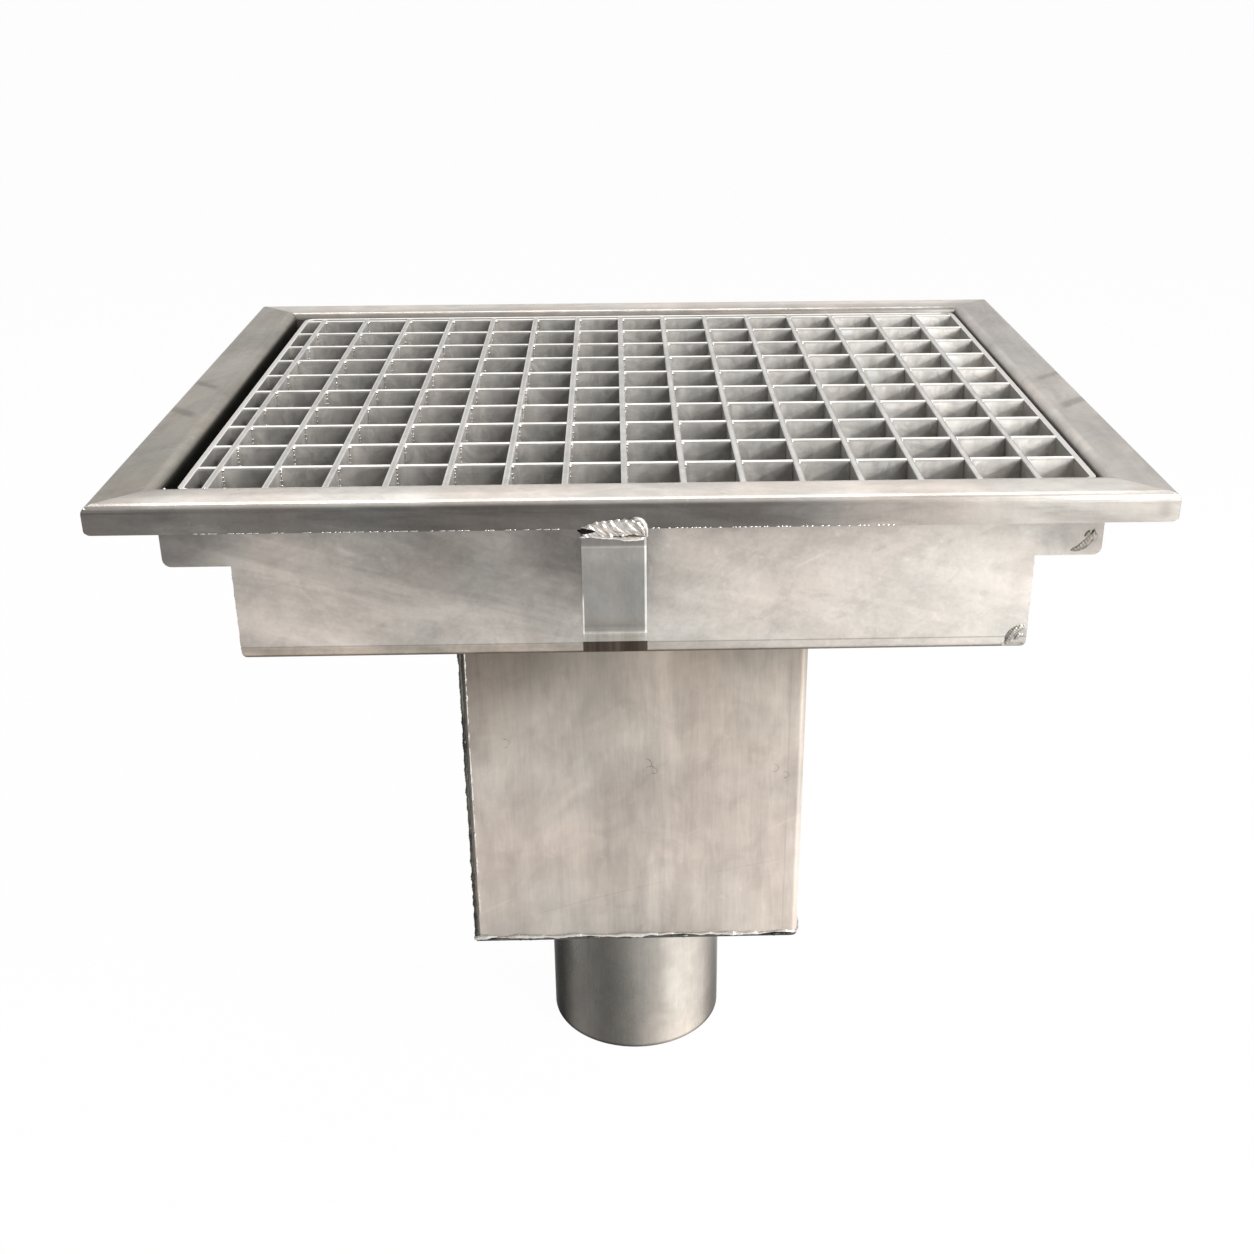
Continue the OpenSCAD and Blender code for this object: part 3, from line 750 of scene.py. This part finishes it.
# Shapes of weld metal, in mm. Each is a list of corners, in metres, and a list of faces
def resampled(path, step, closed):
    """Points about a step apart on a path, each with its distance from the start."""
    corners = [Vector(p) for p in path] + ([Vector(path[0])] if closed else [])
    lengths = [(b - a).length for a, b in zip(corners, corners[1:])]
    total = sum(lengths)
    count = max(2, round(total / step))
    points = []
    for i in range(count + (0 if closed else 1)):
        rest, k = total * i / count, 0
        while k < len(lengths) - 1 and rest > lengths[k]:
            rest -= lengths[k]
            k += 1
        points.append((corners[k].lerp(corners[k + 1], min(1, rest / lengths[k])), total * i / count))
    return points


SKEW = Vector((0.31, 0.52, 0.79))


def bead(path, radius, seed, closed=False, pitch=1.9, ripple=0.2, ragged=0.25, sides=8):
    """A weld bead along a path: a lumpy tube whose thickness ripples like laid coins."""
    rng = random.Random(seed)
    points = resampled(path, pitch / 3, closed)
    n = len(points)
    wobble = [rng.uniform(-1, 1) for _ in range(n // 4 + 3)]
    verts, faces = [], []
    for i, (at, s) in enumerate(points):
        ahead = points[(i + 1) % n][0] if closed or i + 1 < n else at
        behind = points[i - 1][0] if closed or i else at
        way = (ahead - behind).normalized()
        side = way.cross(SKEW).normalized()
        up = side.cross(way)
        k, t = divmod(i / 4, 1)
        drift = wobble[int(k)] * (1 - t) + wobble[int(k) + 1] * t
        coin = (s / pitch) % 1
        thick = radius * (1 + ripple * (math.sin(math.pi * coin) - 0.6) + ragged * drift)
        if not closed:
            thick *= min(1, 0.35 + min(s, points[-1][1] - s) / (2 * radius))
        for j in range(sides):
            a = 2 * math.pi * j / sides
            lump = 1 + 0.12 * rng.uniform(-1, 1)
            verts.append((at + (side * math.cos(a) + up * math.sin(a)) * thick * lump) * MM)
    for i in range(n if closed else n - 1):
        here, there = i * sides, (i + 1) % n * sides
        for j in range(sides):
            k = (j + 1) % sides
            faces.append((here + j, here + k, there + k, there + j))
    if not closed:
        faces.append(tuple(range(sides))[::-1])
        faces.append(tuple((n - 1) * sides + j for j in range(sides)))
    return verts, faces


def blob(centre, size, seed):
    """A small lump of weld metal: a rough ball with the half sizes in size."""
    rng = random.Random(seed)
    rings, sides = 4, 7
    ball = [Vector((0, 0, 1))]
    for i in range(1, rings):
        for j in range(sides):
            a, b = math.pi * i / rings, 2 * math.pi * (j + 0.5 * (i % 2)) / sides
            ball.append(Vector((math.sin(a) * math.cos(b), math.sin(a) * math.sin(b), math.cos(a))))
    ball.append(Vector((0, 0, -1)))
    verts = []
    for v in ball:
        lump = 1 + 0.16 * rng.uniform(-1, 1)
        verts.append((Vector(centre) + Vector((v.x * size[0], v.y * size[1], v.z * size[2])) * lump) * MM)
    faces = [(0, 1 + j, 1 + (j + 1) % sides) for j in range(sides)]
    for i in range(rings - 2):
        for j in range(sides):
            a, b = 1 + i * sides + j, 1 + i * sides + (j + 1) % sides
            faces.append((a, a + sides, b + sides, b))
    last, base = len(verts) - 1, 1 + (rings - 2) * sides
    faces += [(base + (j + 1) % sides, base + j, last) for j in range(sides)]
    return verts, faces


def relief(origin, u, v, n, width, height, cells, shape, depth=0.6):
    """A closed patch of low relief on a face: shape(a, b) is its height above the face."""
    origin, u, v, n = (Vector(k) for k in (origin, u, v, n))
    nu, nv = cells
    verts, faces = [], []
    for back in (0, 1):
        for j in range(nv + 1):
            for i in range(nu + 1):
                a, b = width * i / nu, height * j / nv
                h = -depth - 0.1 if back else max(-depth, shape(a, b))
                verts.append((origin + u * a + v * b + n * h) * MM)
    row, layer = nu + 1, (nu + 1) * (nv + 1)
    for j in range(nv):
        for i in range(nu):
            k = j * row + i
            faces.append((k, k + 1, k + row + 1, k + row))
            faces.append((layer + k, layer + k + row, layer + k + row + 1, layer + k + 1))
    rim = ([i for i in range(nu)] + [nu + j * row for j in range(nv)]
           + [nv * row + i for i in range(nu, 0, -1)] + [j * row for j in range(nv, 0, -1)])
    for k, m in zip(rim, rim[1:] + rim[:1]):
        faces.append((m, k, layer + k, layer + m))
    return verts, faces


def add_mesh(name, parts, material, body="drain"):
    """One piece of several shapes, which rides on a body and has a slot."""
    verts, faces = [], []
    for part_verts, part_faces in parts:
        start = len(verts)
        verts += part_verts
        faces += [tuple(k + start for k in face) for face in part_faces]
    mesh = bpy.data.meshes.new(name)
    mesh.from_pydata([tuple(v) for v in verts], [], faces)
    mesh.polygons.foreach_set("use_smooth", [True] * len(mesh.polygons))
    mesh.materials.append(material)
    obj = bpy.data.objects.new(name, mesh)
    bpy.context.scene.collection.objects.link(obj)
    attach(obj, body)


def turned(point, sign):
    """A point at the front, or with the sign -1 the same point turned half round to the back."""
    x, y, z = point
    return sign * x, sign * y, z


# Welds of the sump and the pipe
BEND, BEND_CUT = 4.0, 1.17  # a bend's outer radius, and how far it stays inside the sharp corner
FOOT_OUT = 1.003  # how much wider the foot weld runs than the sump
FOOT_STEP = 5
BURNT_RUNS = ((-95, -52), (-30, -22), (-12, 8), (20, 31), (52, 60), (74, 92))


def sump_ring():
    """The sump's outline: a sharp corner at the welded edge and three that are bent."""
    e, cut, bend = sump_half, sump_half - BEND_CUT, sump_half - BEND
    return [(-e, -e), (bend, -e), (cut, -cut), (e, -bend), (e, bend), (cut, cut), (bend, e), (-bend, e),
            (-cut, cut), (-e, bend)]


def wavy_foot():
    """A wavy line round the sump's foot."""
    ring = sump_ring()
    rng = random.Random(61)
    path = []
    for (x0, y0), (x1, y1) in zip(ring, ring[1:] + ring[:1]):
        steps = max(1, round(math.hypot(x1 - x0, y1 - y0) / FOOT_STEP))
        for k in range(steps):
            x, y = x0 + (x1 - x0) * k / steps, y0 + (y1 - y0) * k / steps
            path.append((x * FOOT_OUT, y * FOOT_OUT, sump_lo.z + 0.5 + rng.uniform(-0.5, 0.9)))
    return path


def burnt_run(lo, hi, seed):
    """A burnt stretch of the foot weld at the front, from x = lo to x = hi."""
    path = [(lo, -sump_half - 0.5, sump_lo.z - 0.7), ((lo + hi) / 2, -sump_half - 0.7, sump_lo.z - 0.4),
            (hi, -sump_half - 0.4, sump_lo.z - 0.7)]
    return bead(path, 0.8, seed, ragged=0.6, pitch=3.0, sides=6)


def add_sump_welds():
    """The seam up the front left edge, and the beads round the sump's foot and head; the dark bead round the
    head also gives the painted shade under the tray.
    """
    seam = 0.2 - sump_half
    add_mesh("sump_seam", [bead([(seam, seam, sump_lo.z - 1), (seam, seam, sump_hi.z)], 1.0, 1, ragged=0.35)],
             weld_burnt_and_shade)
    add_mesh("sump_foot_weld", [bead(wavy_foot(), 0.95, 2, closed=True, ragged=0.7, pitch=4.6)],
             weld_bright)
    add_mesh("sump_foot_burn", [burnt_run(lo, hi, 60 + k) for k, (lo, hi) in enumerate(BURNT_RUNS)],
             weld_burnt_and_shade)
    # The head's bead, under the tray: burnt dark, and painted shade under the tray.
    head = [(x, y, sump_hi.z - 0.5) for x, y in sump_ring()]
    add_mesh("sump_head_weld", [bead(head, 1.4, 3, closed=True, pitch=2.8, sides=6)], weld_burnt_and_shade)
    beside = [(3.1 - sump_half, 0.25 - sump_half, sump_lo.z + 2), (2.7 - sump_half, 0.25 - sump_half, 250),
              (3.2 - sump_half, 0.25 - sump_half, sump_hi.z - 1)]
    add_mesh("sump_seam_edge", [bead(beside, 0.5, 4, ragged=0.9, pitch=2.2, sides=6)], weld_bright)


def add_pipe_weld():
    """The bead round the pipe's upper end."""
    points = 120
    circle = [(pipe_hi.x * math.cos(2 * math.pi * k / points), pipe_hi.x * math.sin(2 * math.pi * k / points),
               pipe_hi.z - 0.5) for k in range(points)]
    add_mesh("pipe_weld", [bead(circle, 1.5, 5, closed=True, pitch=2.6, sides=6)], weld_bright)


# Tacks of the grate
SMALL_TACKS_FROM = 40  # x, from which the tacks are small
TACK, SMALL_TACK, SPOT = 1.3, 0.75, 0.45  # half widths


def add_grate_tacks():
    """A tack at the front right corner of each crossing, with spots down the corner."""
    tacks = []
    rng = random.Random(7)
    for i, x in enumerate(bars_x):
        for j, y in enumerate(bars_y):
            at = (x + bar_half + 0.2, y - bar_half - 0.2)
            size = TACK if x < SMALL_TACKS_FROM else SMALL_TACK
            tacks.append(blob((*at, grate_hi.z - 0.85), (size, size, 0.8), 1000 + i * 20 + j))
            z = grate_hi.z - 2.4
            while z > grate_lo.z + 4:
                if rng.random() < 0.75:
                    tacks.append(blob((*at, z), (SPOT, SPOT, rng.uniform(0.4, 0.8)), 5000 + len(tacks)))
                z -= rng.uniform(1.6, 2.8) if z > grate_hi.z - 14 else rng.uniform(3.0, 6.0)
    add_mesh("grate_tacks", tacks, weld_bright)


# Welds of the anchors, where each strap laps behind the skirt
WELD_W, WELD_H, STRAP_BACK = 31.4, 10.6, 2.3
WELD_EDGE = ((0, 5.6), (3, 7.4), (8, 9.0), (17, 10.0), (24, 10.4), (27.5, 9.6), (30, 6.5), (31.5, 4.5))
ANCHOR_RUNS = (  # seed, radius, points right of the strap's left edge, out of the skirt and above its edge
    (20, 1.1, ((-0.6, -1.6, -4.2), (4, -1.7, -3.6), (9, -1.6, -4.4), (15, -1.6, -4.9), (20.5, -1.5, -5.6),
               (29.4, -1.5, -5.1))),
    (22, 0.8, ((23.5, -0.3, 5.1), (26.6, 0.1, 4.9), (28.8, 0.1, 3.0), (30.1, -0.1, 0.0), (30.4, -1.2, -4.6))),
)


def weld_top(a):
    """The weld's upper edge above its foot: it climbs to the right, then drops."""
    for (x0, y0), (x1, y1) in zip(WELD_EDGE, WELD_EDGE[1:]):
        if a <= x1:
            return y0 + (y1 - y0) * (a - x0) / (x1 - x0)
    return WELD_EDGE[-1][1]


def coin_relief(a, b):
    """Slanted coins of weld metal that lap from the strap up over the skirt's edge."""
    top = weld_top(a) + 0.25 * math.sin(a * 1.9)
    foot = 0.5 + 0.35 * math.sin(a * 0.8 + 1.0) + (0.4 if a > 18 else 0)
    inside = min(top - b, b - foot, a - 0.2, WELD_W - 0.3 - a)
    hole = 1 - a / 7.0
    if inside <= 0 or hole > 0 and abs(b - 4.3) < 1.7 * math.sqrt(hole):
        return -STRAP_BACK
    slope = min(1.0, inside / 1.1)
    phase = (a + 0.9 * b) / 5.6 + 0.12 * math.sin(b * 1.3) + 0.2 * math.sin(0.45 * a + 0.7)
    swell = 0.5 + 0.7 * math.sin(0.55 * a + 0.35 * b) ** 2
    crest = (0.5 + 0.5 * math.cos(2 * math.pi * phase)) ** 1.7 * swell
    far = math.hypot(a - 21.5, b - 2.0)
    ridge = math.exp(-((far - 8.1) / 0.9) ** 2) if a > 21 else 0.0
    lip = math.exp(-((b - 1.5) / 0.75) ** 2) * (1.0 if a < 20 else 0.35)
    seat = -1.9 + 2.2 * min(1.0, b / 4.5)
    grain = 0.08 * math.sin(a * 2.7 + b * 3.1)
    height = seat + 0.35 + 0.42 * crest * (1 - ridge) + 1.1 * ridge + 1.1 * lip + grain
    drop = STRAP_BACK * (1 - slope) if b < 5 else 0
    return height * slope - drop


def add_anchor_welds():
    """A rippled weld with a black blob of painted shade in the pit at its left end, and a bright lip, for
    each anchor.
    """
    for sign, name in ((1, "front"), (-1, "back")):
        start = turned((strap_lo.x - 0.7, skirt_y, skirt_z - 5.2), sign)
        lap = relief(start, (sign, 0, 0), Z, (0, -sign, 0), WELD_W, WELD_H, (126, 46), coin_relief,
                     depth=STRAP_BACK)
        add_mesh("anchor_%s_weld" % name, [lap], weld_coin)
        # The pit: a black blob of painted shade.
        pit = blob(turned((strap_lo.x + 2.6, skirt_y + 0.3, skirt_z - 0.9), sign), (4.6, 0.5, 1.7), 70 + sign)
        add_mesh("anchor_%s_pit" % name, [pit], gap_shade)
        runs = []
        for seed, radius, path in ANCHOR_RUNS:
            points = [turned((strap_lo.x + a, skirt_y - b, skirt_z + c), sign) for a, b, c in path]
            runs.append(bead(points, radius, seed + sign, ragged=0.45, pitch=3.1, ripple=0.25))
        add_mesh("anchor_%s_lip" % name, runs, weld_bright)


# Seams and specks of the tray and the rim
TRAY_FLOOR_Z = 347
SEAM_INSET = 1.9  # from the wall's face inwards
LEDGE_RUN = 30  # length of the seam along a ledge
SPECK_RUNS = ((-200, -27), (8, 120))  # from x to x, left and right of the anchor
RIM_SPECKS = (((-223.0, -176.6, 431.4), 0.6), ((-218.4, -175.2, 431.4), 0.7), ((-248.4, -199.2, 430.6), 0.6))
GRATE_SPECKS = ((-212.4, -170.4, 429.4), (-201.2, -170.2, 429.4))


def wall_seams():
    """Closed seams at the ends of the front and back walls, upright and along the ledges."""
    seams = []
    for sx in (-1, 1):
        for sy in (-1, 1):
            y = sy * (wall_depth - SEAM_INSET)
            foot, corner = (sx * tray_half, y, TRAY_FLOOR_Z), (sx * tray_half, y, LEDGE_UNDER)
            end = (sx * (tray_half + LEDGE_RUN), y, LEDGE_UNDER)
            seams.append(bead([foot, corner], 0.6, 31 + sx + 3 * sy, pitch=2.2, sides=6))
            seams.append(bead([corner, end], 0.6, 41 + sx + 3 * sy, pitch=2.2, sides=6))
    return seams


def skirt_specks():
    """Small specks along the skirt's lower edge, longer left of the anchor."""
    specks = []
    rng = random.Random(11)
    for sign in (1, -1):
        for lo, hi in SPECK_RUNS:
            x = lo
            while x < hi:
                half = rng.uniform(0.4, 2.6 if hi < 0 else 1.3)
                if rng.random() < 0.75:
                    specks.append(blob(turned((x, skirt_y - 0.05, skirt_z + 0.3), sign), (half, 0.3, 0.25),
                                       300 + len(specks)))
                x += half * 1.6 + rng.uniform(0.0, 1.2)
    return specks


def add_tray_specks():
    """The tray's seams and specks, and the few specks at the front left corner."""
    add_mesh("tray_seams", wall_seams() + skirt_specks(), weld_bright)
    add_mesh("rim_corner_specks", [blob(at, (r, r, 0.4), 90 + k) for k, (at, r) in enumerate(RIM_SPECKS)],
             weld_bright)
    add_mesh("grate_corner_specks", [blob(at, (0.9, 0.9, 0.7), 95 + k) for k, at in enumerate(GRATE_SPECKS)],
             weld_bright)


# Two small welds at the right end of the front wall
def crescent(a, b, centre_a, centre_b, radius, thick, start, end):
    """A curved run of weld metal that fades at both ends, as a height from 0 to 1."""
    turn = math.atan2(b - centre_b, a - centre_a)
    share = (turn - start) / (end - start)
    if not 0 < share < 1:
        return 0.0
    off = (math.hypot(a - centre_a, b - centre_b) - radius) / (thick * math.sin(math.pi * share) ** 0.6)
    return max(0.0, 1 - off * off)


def corner_relief(a, b):
    """The weld on the wall's lower right corner: a crescent round a pit."""
    big = crescent(a, b, 11.8, 1.0, 9.2, 2.2, 1.5, 3.3)
    small = crescent(a, b, 9.4, 3.4, 2.4, 1.3, 0.9, 4.4)
    rough = 0.14 * math.sin(a * 3.3 + b) * math.cos(b * 2.9) if big + small > 0 else 0
    return 0.75 * big + 0.6 * small + rough - 0.08


def ledge_relief(a, b):
    """A short weld run and a lump where the ledge meets the end of the wall."""
    run = crescent(a, b, -1.0, 14.0, 11.9, 2.2, -1.45, -0.1)
    lump = crescent(a, b, 9.2, 8.8, 2.3, 1.5, -1.3, 3.4)
    rough = 0.1 * math.sin(a * 3.1) * math.cos(b * 2.7) if run + lump > 0 else 0
    return 0.55 * run + 0.6 * lump + rough - 0.08


def add_corner_welds():
    """The small welds at the lower corner and at the ledge."""
    out = (0, -1, 0)
    corner = relief((tray_half - 12.0, -wall_depth, 344.6), X, Z, out, 10.6, 13.0, (44, 52), corner_relief)
    ledge = relief((tray_half + 16.6, -wall_depth, LEDGE_UNDER + 0.4), X, Z, out, 13.0, 13.0, (40, 40),
                   ledge_relief)
    add_mesh("tray_corner_weld", [corner], weld_dull)
    add_mesh("ledge_corner_weld", [ledge], weld_dull)


add_sump_welds()
add_pipe_weld()
add_grate_tacks()
add_anchor_welds()
add_tray_specks()
add_corner_welds()
